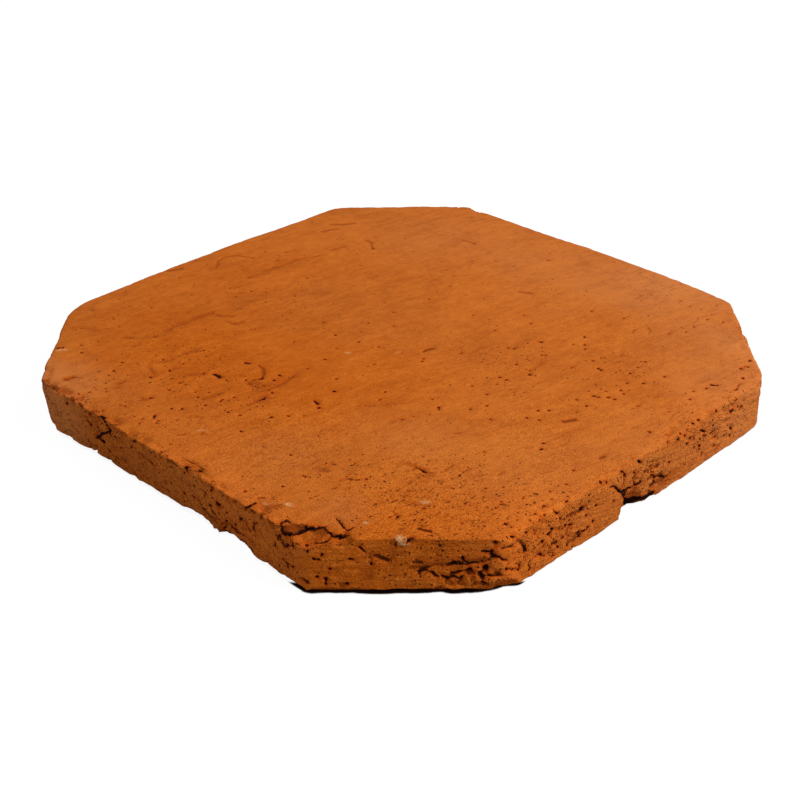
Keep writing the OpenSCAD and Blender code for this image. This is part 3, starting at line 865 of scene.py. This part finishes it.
# Half width, amount and picture points of streaks in a deeper orange, and of pale lime grains.
STREAKS = [
    (1.5, 1.0, [(126, 338), (139.5, 338.5), (155.5, 335.5), (164.5, 332), (181.5, 323.5)]),
    (1.2, 0.9, [(181.5, 323.5), (200, 317), (212, 312.5)]),
    (1.6, 1.0, [(66, 379), (72.5, 377)]),
    (2.6, 0.5, [(187, 461), (196, 464.5), (204, 470)]),
    (1.8, 0.6, [(663, 483), (671, 476.5), (679, 470)]),
    (1.2, 1.0, [(217, 315), (224.5, 316), (233, 316)]),
    (1.2, 1.0, [(227.5, 322), (235, 324), (243, 322)]),
    (1.3, 0.9, [(184.5, 353), (200.5, 348.5)]),
    (1.2, 0.9, [(159, 362.5), (171.5, 359.5)]),
    (1.2, 0.9, [(133.5, 346.5), (141, 343.5)]),
    (1.0, 0.9, [(118, 383.5), (125, 381)]),
    (2.2, 0.9, [(269, 506), (278, 507)]),
    (2.5, 0.8, [(250, 382), (268, 388), (285, 381)]),
    (2.0, 0.4, [(62, 330), (80, 326), (95, 330)]),
    (2.0, 0.4, [(385, 282), (405, 279), (422, 276)]),
    (1.6, 0.45, [(250, 277), (275, 268), (300, 259), (322, 255)]),
    (2.2, 0.4, [(360, 405), (390, 404), (420, 399)]),
    (1.8, 0.4, [(515, 377), (528, 372), (542, 363)]),
    (2.2, 0.7, [(438.5, 542), (439, 552), (438.5, 564)]),
    (1.5, 0.6, [(393, 548), (393.5, 562), (393, 580)]),
    (2.4, 0.4, [(366, 556), (367, 570), (366, 583)]),
    (1.3, 0.7, [(148.5, 367), (156, 375.5)]),
    (1.8, 0.6, [(189, 374.5), (202, 374)]),
    (1.1, 0.7, [(142, 400), (151, 398)]),
    (1.1, 0.8, [(202, 398.6), (211, 396.5), (221, 393)]),
    (1.2, 0.8, [(247, 405), (257, 401), (266, 396.5)]),
    (1.3, 0.9, [(264.5, 389.7), (277, 385.5), (293.5, 375.7)]),
    (1.2, 0.8, [(246.7, 382), (252, 386.5), (259, 389.7)]),
    (1.5, 0.8, [(186.5, 417.2), (195, 416.6), (202, 417)]),
    (1.1, 0.9, [(178, 434.8), (184, 434.4)]),
    (1.1, 0.8, [(201, 434), (206.5, 434)]),
    (1.0, 0.6, [(138, 433), (143, 433)]),
    (1.0, 0.6, [(114, 388), (119.5, 387)]),
    (1.5, 0.5, [(229, 293.6), (241.5, 293)]),
    (1.5, 0.5, [(188, 312), (198, 306), (208, 301.7)]),
    (1.4, 0.8, [(402, 461.5), (412, 465), (420, 468)]),
    (1.5, 0.6, [(418, 475), (433, 474.6)]),
    (1.4, 0.8, [(412, 505), (420, 505.6), (427, 505)]),
    (1.3, 0.6, [(462, 521), (473, 522.5), (484, 522)]),
]
STREAK_DEPTH = 0.25
STREAK_STRENGTH = 1.7
for half_width, amount, spots in STREAKS:
    tint(crooked(seats(spots)), half_width, STREAK_DEPTH, broken, STREAK_STRENGTH * amount)

LIME_GRAINS = [
    (0.3, 0.2, [(268, 504.2), (274, 503), (281, 503.2)]),
    (0.6, 0.5, [(266.8, 504.4)]),
    (0.6, 0.8, [(58, 350.4), (66, 349.6)]),
    (1.2, 0.9, [(287.4, 504), (289.2, 504.6)]),
    (0.6, 0.7, [(199.5, 430.5), (206.5, 430.5)]),
    (1.1, 0.5, [(423, 502), (428, 502)]),
    (0.8, 0.9, [(366.8, 522.3)]),
    (0.5, 0.6, [(398, 352.5), (401, 351.5)]),
    (0.6, 0.5, [(345, 352), (350, 353)]),
]
for half_width, amount, spots in LIME_GRAINS:
    tint(crooked(seats(spots)), half_width, 0.0, pale, amount)

# A buff pebble that stands a little out of the front arris.
PEBBLE = [(400, 540.3), (404.5, 542.5)]
PEBBLE_HALF = 2.0
PEBBLE_STANDS = 0.8
PEBBLE_PALE = 0.8
tint(seats(PEBBLE), PEBBLE_HALF, -PEBBLE_STANDS, pale, PEBBLE_PALE)

# Spongy patches, where many fine pores are open: picture point, radius and amount.
POROUS = [
    ((440, 505), 45, 1.0), ((380, 520), 20, 0.8), ((500, 500), 25, 0.9), ((180, 370), 45, 0.8),
    ((230, 400), 35, 0.8), ((110, 390), 30, 0.6), ((520, 365), 40, 0.55), ((610, 375), 40, 0.45),
    ((340, 480), 30, 0.7), ((535, 530), 22, 0.6), ((560, 515), 20, 0.6), ((545, 545), 18, 0.6),
    ((700, 430), 25, 0.7), ((735, 405), 22, 0.45), ((480, 575), 22, 0.8), ((285, 545), 12, 0.6),
    ((215, 510), 16, 0.5), ((105, 445), 14, 0.6), ((650, 475), 20, 0.7),
]
BASE_PORES = 0.25
LEFT_PORES = 0.35
porous = BASE_PORES + wallness * left_wall * (LEFT_PORES - LEFT_PORES * smooth(skin[:, 0], 30.0, 60.0))
uneven = cloud(skin, 9.0, 62)
for spot, radius, amount in POROUS:
    distance = np.linalg.norm(bare_skin - seats([spot])[0], axis=1) * (1 + 0.3 * uneven)
    porous = np.maximum(porous, amount * (1 - smooth(distance, 0.3 * radius, 1.2 * radius)))

# How coarse the sand looks, from the far back to the front, on the walls and on the calm front cut.
BACK_GRAIN = 0.12
MIDDLE_GRAIN = 0.5
FRONT_GRAIN = 0.6
WALL_GRAIN = 0.2
FRONT_WALL_CALM = 0.55
nearness = skin[:, 0] - skin[:, 1]
grain = BACK_GRAIN + MIDDLE_GRAIN * smooth(nearness, -200.0, 20.0)
grain += FRONT_GRAIN * smooth(nearness, 50.0, 170.0)
grain = (grain + WALL_GRAIN * wallness) * (1 - FRONT_WALL_CALM * front_wall * wallness)

# Pits and pockets of the sides that face away, at random places, painted dark as painted shade like the
# others.
HIDDEN_SEED = 51
HIDDEN_PITS = 170
HIDDEN_SIZES = (0.5, 1.1)
HIDDEN_DARKNESS = (0.6, 1.0)
DEPTH_TO_SIZE = 1.4
rng = np.random.default_rng(HIDDEN_SEED)
hidden_wall = np.flatnonzero((wallness > 0.8) & ~facing)
for number in rng.choice(hidden_wall, HIDDEN_PITS, replace=False):
    size = rng.uniform(*HIDDEN_SIZES) ** 1.5
    sink(bare_skin[number][None], size, DEPTH_TO_SIZE * size, rng.uniform(*HIDDEN_DARKNESS))

# Patches of dust and painted sheen, of rich burnt tone and painted shade, and of fresh scraping and painted
# light: place in the tile's frame, radius and amount.
# The dusty patches at the back of the face are painted sheen, where the lamp's light grazes the clay; the
# others are paler dust.
DUSTY_AND_SHEEN = [
    (62, 146, 27, 45, 0.85), (20, 125, 27, 55, 0.4), (106, 100, 27, 40, 0.35), (-50, 118, 27, 55, 0.3),
    (-95, 95, 27, 40, 0.15), (37, -111, 27, 22, 0.2), (88, -126, 27, 16, 0.35), (74, -63, 27, 22, 0.25),
    (127, -50, 27, 40, 0.2), (-60, -135, 27, 25, 0.1), (121, 121, 10, 32, 0.9), (150, 75, 10, 45, 0.7),
    (150, 15, 10, 35, 0.35), (-85, -150, 10, 28, 0.9), (-108, -146, 12, 24, 0.7), (45, -150, 10, 25, 0.25),
]
# The patches on the front cut are painted shade: a deeper, darker orange where the cut faces away from the
# lamp, most at its left end. The others are a richer burnt tone.
RICH_AND_SHADE = [
    (-58, -76, 27, 55, 0.9), (-116, -30, 27, 45, 0.45), (0, -60, 27, 50, 0.7), (-95, -88, 27, 45, 0.55),
    (25, -35, 27, 45, 0.35), (-110, 20, 27, 40, 0.3), (121, -121, 12, 52, 0.95), (103, -139, 12, 28, 0.8),
    (150, -75, 12, 30, 0.15), (10, -95, 27, 40, 0.5), (-35, -150, 12, 30, 0.4),
]
# The patches on the -Y wall are painted light that brightens it towards the front corner, where the wall
# turns to the lamp; those on the +X wall make it a brighter orange.
SCRAPED_AND_LIT = [
    (40, -150, 16, 20, 0.7), (60, -150, 12, 20, 0.8), (80, -150, 14, 16, 0.35), (5, -150, 14, 30, 0.25),
    (150, -80, 12, 28, 0.55), (150, -40, 12, 22, 0.15), (150, 40, 12, 30, 0.2),
]
PATCH_UNEVEN = 0.25
PATCH_SPREAD = (0.15, 1.35)
uneven = cloud(skin, 18.0, 61)
for patches, marks in [(DUSTY_AND_SHEEN, dust_and_sheen), (RICH_AND_SHADE, rich_and_shade), (SCRAPED_AND_LIT, scraped_and_lit)]:
    for x, y, z, radius, amount in patches:
        distance = np.linalg.norm(skin - (x, y, z), axis=1) * (1 + PATCH_UNEVEN * uneven)
        patch = amount * (1 - smooth(distance, *np.multiply(PATCH_SPREAD, radius)))
        marks[:] = 1 - (1 - marks) * (1 - patch)

# Fired clay
# Iron-rich earthenware, burnt orange-brown: sandy grain, paler dust with painted sheen, wiped streaks and
# open pores.
# The pits, pores and cracks are painted nearly black inside red rims, as painted shade in the hollows, and
# fresh breaks are redder than the weathered skin.


class Flow:
    """One socket of a material. Arithmetic on flows adds Math nodes, and node() adds any other node."""

    def __init__(self, tree, maker=None, output=0):
        self.tree = tree
        self.maker = maker
        self.output = output

    def __getitem__(self, output):
        """Another output of the same node, by its name or number."""
        return Flow(self.tree, self.maker, output)

    def node(self, kind, sockets, **settings):
        """Adds a node of this type: its settings come first, then the values or links of its sockets."""
        made = self.tree.nodes.new("ShaderNode" + kind)
        for name, value in settings.items():
            setattr(made, name, value)
        for name, value in sockets.items():
            if isinstance(value, Flow):
                self.tree.links.new(value.maker.outputs[value.output], made.inputs[name])
            else:
                made.inputs[name].default_value = value
        return Flow(self.tree, made)

    def math(self, operation, *values):
        """Adds a Math node."""
        return self.node("Math", dict(enumerate(values)), operation=operation)

    def __add__(self, other):
        return self.math("ADD", self, other)

    def __sub__(self, other):
        return self.math("SUBTRACT", self, other)

    def __rsub__(self, other):
        return self.math("SUBTRACT", other, self)

    def __mul__(self, other):
        return self.math("MULTIPLY", self, other)

    __radd__ = __add__
    __rmul__ = __mul__


def new_material(name):
    """An empty material, as the start of its flows."""
    material = bpy.data.materials.new(name)
    material.use_nodes = True
    material.node_tree.nodes.clear()
    return material, Flow(material.node_tree)


MID_CLAY = (0.525, 0.128, 0.0150, 1)
RICH_AND_SHADE_CLAY = (0.50, 0.102, 0.0038, 1)
DUST_AND_SHEEN_CLAY = (0.57, 0.180, 0.048, 1)
SCRAPED_AND_LIT_CLAY = (0.70, 0.152, 0.0140, 1)
PALE_GRAIN = (0.72, 0.208, 0.026, 1)
DARK_GRAIN = (0.25, 0.043, 0.003, 1)
BROKEN_CLAY = (0.38, 0.070, 0.004, 1)
LIME = (0.70, 0.40, 0.18, 1)
HOLE_RIM_SHADE = (0.56, 0.078, 0.003, 1)
PIT_SHADE = (0.016, 0.0032, 0.0006, 1)
CLAY_ROUGHNESS = 0.92
CLAY_SHINE = 0.06
WIPE_TURN = np.radians(-10)
DRAG_RUN = 0.07
DRAG_RISE = 1.1
STIR_SIZE = 1.6
STIR = 1.5
PORE_EDGE = (-0.02, 0.05)
RIM_BAND = (2.3, 1.1)
PIT_BLACK = 0.75

terracotta, start_flow = new_material("terracotta")
metres = start_flow.node("TexCoord", {})["Object"]
place = start_flow.node("VectorMath", {0: metres, "Scale": 1 / MM}, operation="SCALE")


def noise(vector, size, detail=2.0, rough=0.5):
    """Smooth noise round 0, to about 0.3 either way, with lumps of a given size in millimetres."""
    sockets = {"Vector": vector, "Scale": 1 / size, "Detail": detail, "Roughness": rough}
    return vector.node("TexNoise", sockets) - 0.5


def drawn_out(vector, turn, sizes):
    """Place turned about +Z and measured in lumps of three sizes, for patterns that run one way."""
    sockets = {"Vector": vector, "Rotation": (0, 0, turn), "Scale": sizes}
    return vector.node("Mapping", sockets, vector_type="TEXTURE")


def ramp(value, low, high, kind="SMOOTHSTEP"):
    """0 below low, 1 above high, and an S-curve or a straight line between them."""
    sockets = {"Value": value, "From Min": low, "From Max": high}
    return value.node("MapRange", sockets, interpolation_type=kind)


def mixed(factor, first, second):
    """Two colours mixed by a factor."""
    return factor.node("Mix", {0: factor, 6: first, 7: second}, data_type="RGBA")[2]


def mark(name):
    """A mark that the mesh carries at each of its points."""
    return start_flow.node("Attribute", {}, attribute_name=name)["Fac"]


def pores(vector, cell, share, radius):
    """Round holes in a share of random cells of a given size, up to a radius in millimetres."""
    cells = vector.node("TexVoronoi", {"Vector": vector, "Scale": 1 / cell})
    chance = cells.node("SeparateColor", {0: cells["Color"]})
    hole = ramp(chance, 1 - share, 1.1 - share) * (radius / cell)
    return ramp(hole - cells["Distance"], *PORE_EDGE)


wall = mark("wall")
sponge = mark("porous")
axes = place.node("SeparateXYZ", {0: place})
drag_sockets = {0: axes["X"] * DRAG_RUN, 1: axes["Y"] * DRAG_RUN, 2: mark("drag") * DRAG_RISE}
drag_place = start_flow.node("CombineXYZ", drag_sockets)
stir = place.node("TexNoise", {"Vector": place, "Scale": 1 / STIR_SIZE, "Detail": 1.0})["Color"]
stir = place.node("VectorMath", {0: stir, 1: (0.5, 0.5, 0.5)}, operation="SUBTRACT")
stir = place.node("VectorMath", {0: stir, "Scale": STIR}, operation="SCALE")
stirred = place.node("VectorMath", {0: place, 1: stir}, operation="ADD")

drift = noise(place, 70.0)
blotch = noise(place, 16.0, 3.0, 0.55)
mottle = noise(place, 3.5, 3.0, 0.6)
sand = noise(place, 0.55, 1.0, 0.6) * mark("grain")
wipe = noise(drawn_out(place, WIPE_TURN, (5.0, 24.0, 5.0)), 1.0, 3.0, 0.6)
brush = noise(drawn_out(place, WIPE_TURN, (1.3, 5.5, 1.3)), 1.0, 2.0)
drag = noise(drag_place, 1.0, 2.0, 0.6)

face = 1 - wall
grit = noise(place, 1.1, 3.0, 0.65)
stroke = noise(drawn_out(place, WIPE_TURN, (0.9, 3.6, 0.9)), 1.0, 1.0)
fine_pores = pores(stirred, 1.5, 0.03 + sponge * (0.24 + 0.12 * wall), 0.45)
middle_pores = pores(stirred, 3.2, 0.02 + sponge * (0.14 + 0.14 * wall), 0.75)
# Low spots of the wall grit stand for hollows: painted shade in the colour, and sunk by the bump.
hollows = ramp(grit, -0.12, -0.19) * sponge * wall
pores_here = fine_pores.math("MAXIMUM", fine_pores, middle_pores)
pores_here = pores_here.math("MAXIMUM", pores_here, hollows)

tone = drift * 0.3 + blotch * 0.4 + mottle * (0.35 + 0.4 * wall) + sand * 1.55
tone = tone + (wipe * 0.5 + brush * 0.5) * face + (drag * 1.0 + grit * (0.2 + 1.2 * sponge)) * wall
colour = mixed(mark("rich_and_shade"), MID_CLAY, RICH_AND_SHADE_CLAY)
colour = mixed(mark("dust_and_sheen"), colour, DUST_AND_SHEEN_CLAY)
colour = mixed(mark("scraped_and_lit"), colour, SCRAPED_AND_LIT_CLAY)
colour = mixed(mark("broken") * 0.75, colour, BROKEN_CLAY)
colour = mixed(ramp(tone, 0.0, 0.6, "LINEAR"), colour, PALE_GRAIN)
colour = mixed(ramp(tone, 0.0, -0.6, "LINEAR"), colour, DARK_GRAIN)
scored = ramp(stroke, -0.12, -0.22) * face * (0.25 + sponge) * mark("grain")
colour = mixed(scored * 0.8, colour, DARK_GRAIN)
colour = mixed(mark("pale") * (0.3 + 0.7 * ramp(grit + mottle, -0.15, 0.15)), colour, LIME)
# Pores and hollows painted nearly black: painted shade inside them.
colour = mixed(pores_here * (0.8 + 0.12 * wall), colour, PIT_SHADE)
# Pits, cracks and crevices: painted shade, red at the rims and nearly black inside.
ragged_gap = mark("gap") + sand * 0.9 + mottle * 0.5
colour = mixed(ramp(ragged_gap, *RIM_BAND) * mark("painted_shade") * 0.6, colour, HOLE_RIM_SHADE)
colour = mixed(ramp(ragged_gap, PIT_EDGE, PIT_BLACK) * mark("painted_shade"), colour, PIT_SHADE)

relief = sand * (0.25 + 0.3 * wall) + mottle * (0.2 + 0.4 * wall) + brush * face * 0.12
relief = relief + drag * wall * 0.5 - pores_here * 0.7
bump = relief.node("Bump", {"Height": relief, "Distance": MM, "Strength": 1.0})
clay = start_flow.node("BsdfPrincipled", {
    "Base Color": colour, "Roughness": CLAY_ROUGHNESS, "Specular IOR Level": CLAY_SHINE, "Normal": bump,
})
start_flow.node("OutputMaterial", {"Surface": clay})

skin = np.clip(skin, np.divide(cad_box[0], MM), np.divide(cad_box[1], MM))
tile_mesh = bpy.data.meshes.new("fired_tile")
tile_mesh.from_pydata((skin * MM).tolist(), [], quads.tolist() + hem_triangles.tolist())
tile_mesh.polygons.foreach_set("use_smooth", np.ones(len(tile_mesh.polygons), bool))
marks = {
    "gap": gap, "painted_shade": painted_shade, "broken": broken, "pale": pale, "dust_and_sheen": dust_and_sheen, "rich_and_shade": rich_and_shade,
    "scraped_and_lit": scraped_and_lit, "porous": porous, "grain": grain, "wall": wallness, "drag": drag_height,
}
for name, values in marks.items():
    tile_mesh.attributes.new(name, "FLOAT", "POINT").data.foreach_set("value", values.astype(np.float32))
tile_mesh.materials.append(terracotta)
tile_mesh.validate()
fired_tile = bpy.data.objects.new("fired_tile", tile_mesh)
bpy.context.scene.collection.objects.link(fired_tile)
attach(fired_tile, "root")
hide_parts("tile")

# Floor
# A plain white studio sheet under the tile: white to the eye, with a painted contact shadow in front and
# behind, a near black sheet mixed in where the tile hems the floor in. To light bounced from it, it is a
# dull pale sheet, so the walls stay as dark as on a matt table.
FLOOR_HALF = 8000.0
CONTACT_REACH = 3.0
SHADOW_SHARE = 0.08
CONTACT_ELSEWHERE = 0.05
CONTACT_BEHIND = 0.5
CONTACT_SHADE = (0.65, 0.5)
FRONT_LINE = (163.0, 165.0)
BACK_LINE = (-30.0, -60.0)
SHEET_GLOW = 1.05
PAPER = (0.9, 0.9, 0.9, 1)
PAINTED_CONTACT_SHADOW = (0.02, 0.007, 0.003, 1)
MATT = (0.48, 0.48, 0.48, 1)


def seen_rays(flow):
    """1 for light that the eye gets straight, mirrored or through glass, and 0 for bounced light."""
    path = flow.node("LightPath", {})
    straight = path["Is Camera Ray"]
    seen = straight.math("MAXIMUM", straight, path["Is Glossy Ray"])
    return seen.math("MAXIMUM", seen, path["Is Transmission Ray"])


sheet, sheet_flow = new_material("studio_sheet")
seen = seen_rays(sheet_flow)
contact = sheet_flow.node("AmbientOcclusion", {"Distance": CONTACT_REACH * MM}, samples=32)["AO"]
spot = sheet_flow.node("TexCoord", {})["Object"]
# The painted contact shadow is kept to the front and the back of the tile, and faint elsewhere.
ahead = spot.node("VectorMath", {0: spot, 1: (*side_out[FRONT_CUT], 0)}, operation="DOT_PRODUCT")["Value"]
in_front = ramp(ahead, *np.multiply(FRONT_LINE, MM))
behind = ramp(ahead, *np.multiply(BACK_LINE, MM))
pressed_on = CONTACT_ELSEWHERE + in_front + CONTACT_BEHIND * behind
shade = ramp(contact, *CONTACT_SHADE) * pressed_on.math("MINIMUM", pressed_on, 1.0)
white = sheet_flow.node("Emission", {"Strength": SHEET_GLOW})
paper, painted_contact_shadow, matt = (
    sheet_flow.node("BsdfDiffuse", {"Color": colour}) for colour in (PAPER, PAINTED_CONTACT_SHADOW, MATT)
)
lit_sheet = sheet_flow.node("MixShader", {0: SHADOW_SHARE, 1: white, 2: paper})
shown_sheet = sheet_flow.node("MixShader", {0: shade, 1: lit_sheet, 2: painted_contact_shadow})
sheet_surface = sheet_flow.node("MixShader", {0: seen, 1: matt, 2: shown_sheet})
sheet_flow.node("OutputMaterial", {"Surface": sheet_surface})

corners = FLOOR_HALF * MM * np.array([[-1, -1, 0], [1, -1, 0], [1, 1, 0], [-1, 1, 0]])
floor_mesh = bpy.data.meshes.new("studio_floor")
floor_mesh.from_pydata(corners.tolist(), [], [[0, 1, 2, 3]])
floor_mesh.materials.append(sheet)
floor = bpy.data.objects.new("studio_floor", floor_mesh)
bpy.context.scene.collection.objects.link(floor)

# Light
# One large soft lamp, high on the +X side and a little behind, and an even fill from all round.
KEY_DIRECTION = np.array([0.61, 0.35, 0.71])
KEY_DISTANCE = 2600.0
KEY_SIZE = 1140.0
KEY_POWER = 54.0
FILL = 0.45

key_data = bpy.data.lights.new("soft_lamp", "AREA")
key_data.size = KEY_SIZE * MM
key_data.energy = KEY_POWER
key_back = KEY_DIRECTION / np.linalg.norm(KEY_DIRECTION)
key_right = np.cross((0, 0, 1), key_back)
key_right /= np.linalg.norm(key_right)
key_axes = [key_right, np.cross(key_back, key_right), key_back]
stand("soft_lamp", key_data, key_axes, key_back * KEY_DISTANCE)

world = bpy.data.worlds.new("studio")
world.use_nodes = True
world.node_tree.nodes.clear()
sky_flow = Flow(world.node_tree)
sky_glow = FILL + seen_rays(sky_flow) * (1 - FILL)
sky = sky_flow.node("Background", {"Color": (1, 1, 1, 1), "Strength": sky_glow})
sky_flow.node("OutputWorld", {"Surface": sky})
bpy.context.scene.world = world
bpy.context.scene.view_settings.view_transform = "Standard"
